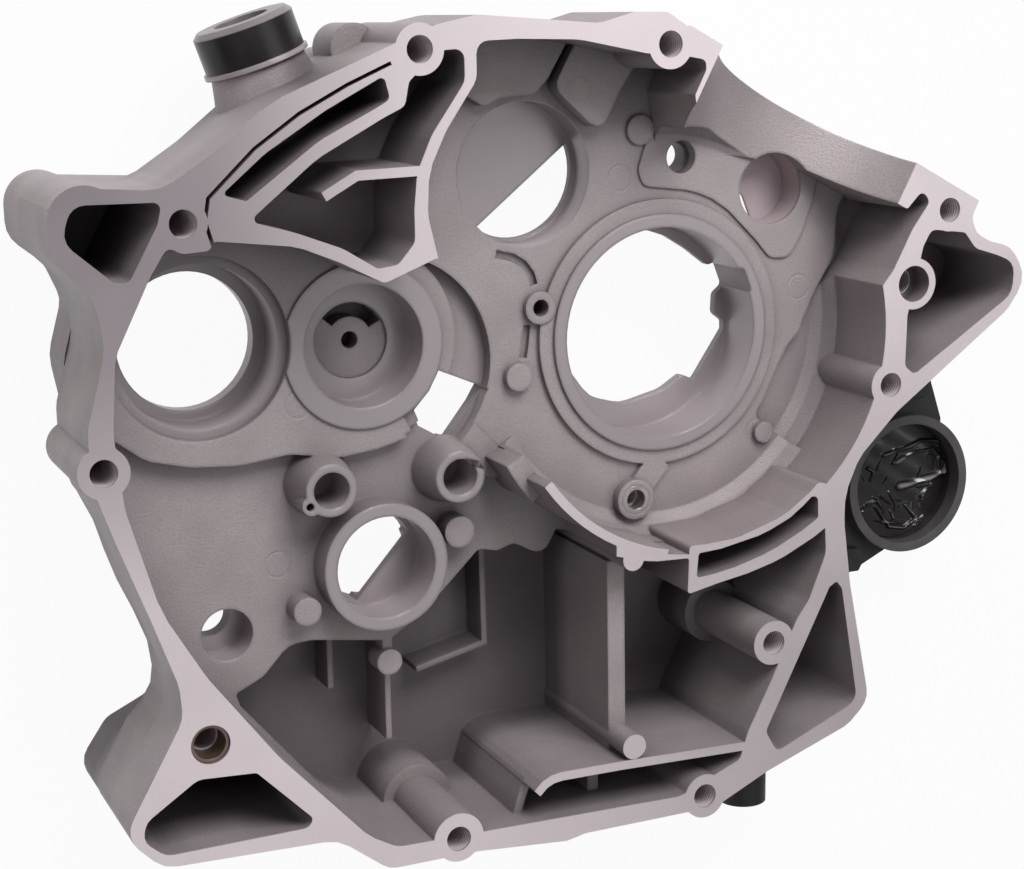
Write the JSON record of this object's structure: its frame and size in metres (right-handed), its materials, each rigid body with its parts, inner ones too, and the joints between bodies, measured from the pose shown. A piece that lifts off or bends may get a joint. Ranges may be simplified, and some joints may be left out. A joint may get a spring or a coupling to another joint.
{
  "type": "engine crankcase half",
  "caption": "Cast crankcase half with bearing seats, gear chamber, sump and cylinder mouth, with a breather union, a socket and a foot.",
  "frame": {"origin": "on the crank axis, at the face of the crank bearing boss", "axes": "+Z out of the joint face, along the crank axis; +Y towards the breather side; the part lies on its outer cover face"},
  "size_m": [0.3465, 0.297, 0.067],
  "materials": {
    "cast_alloy": "as cast with machined faces",
    "black_metal": "dark satin",
    "sleeve_steel": "dull",
    "insert_steel": "bright",
    "black_plastic": "matte",
    "screw_steel": "dark satin",
    "black_film": "gloss",
    "black_rubber": "matte"
  },
  "bodies": {
    "root": {"crankcase": "cast_alloy", "breather_union": "black_metal", "dowel_sleeve": "sleeve_steel", "retainer_insert": "insert_steel", "starter_socket": "black_plastic", "socket_screws": "screw_steel", "dust_plug": "black_film", "drain_foot": "black_rubber"}
  },
  "joints": []
}
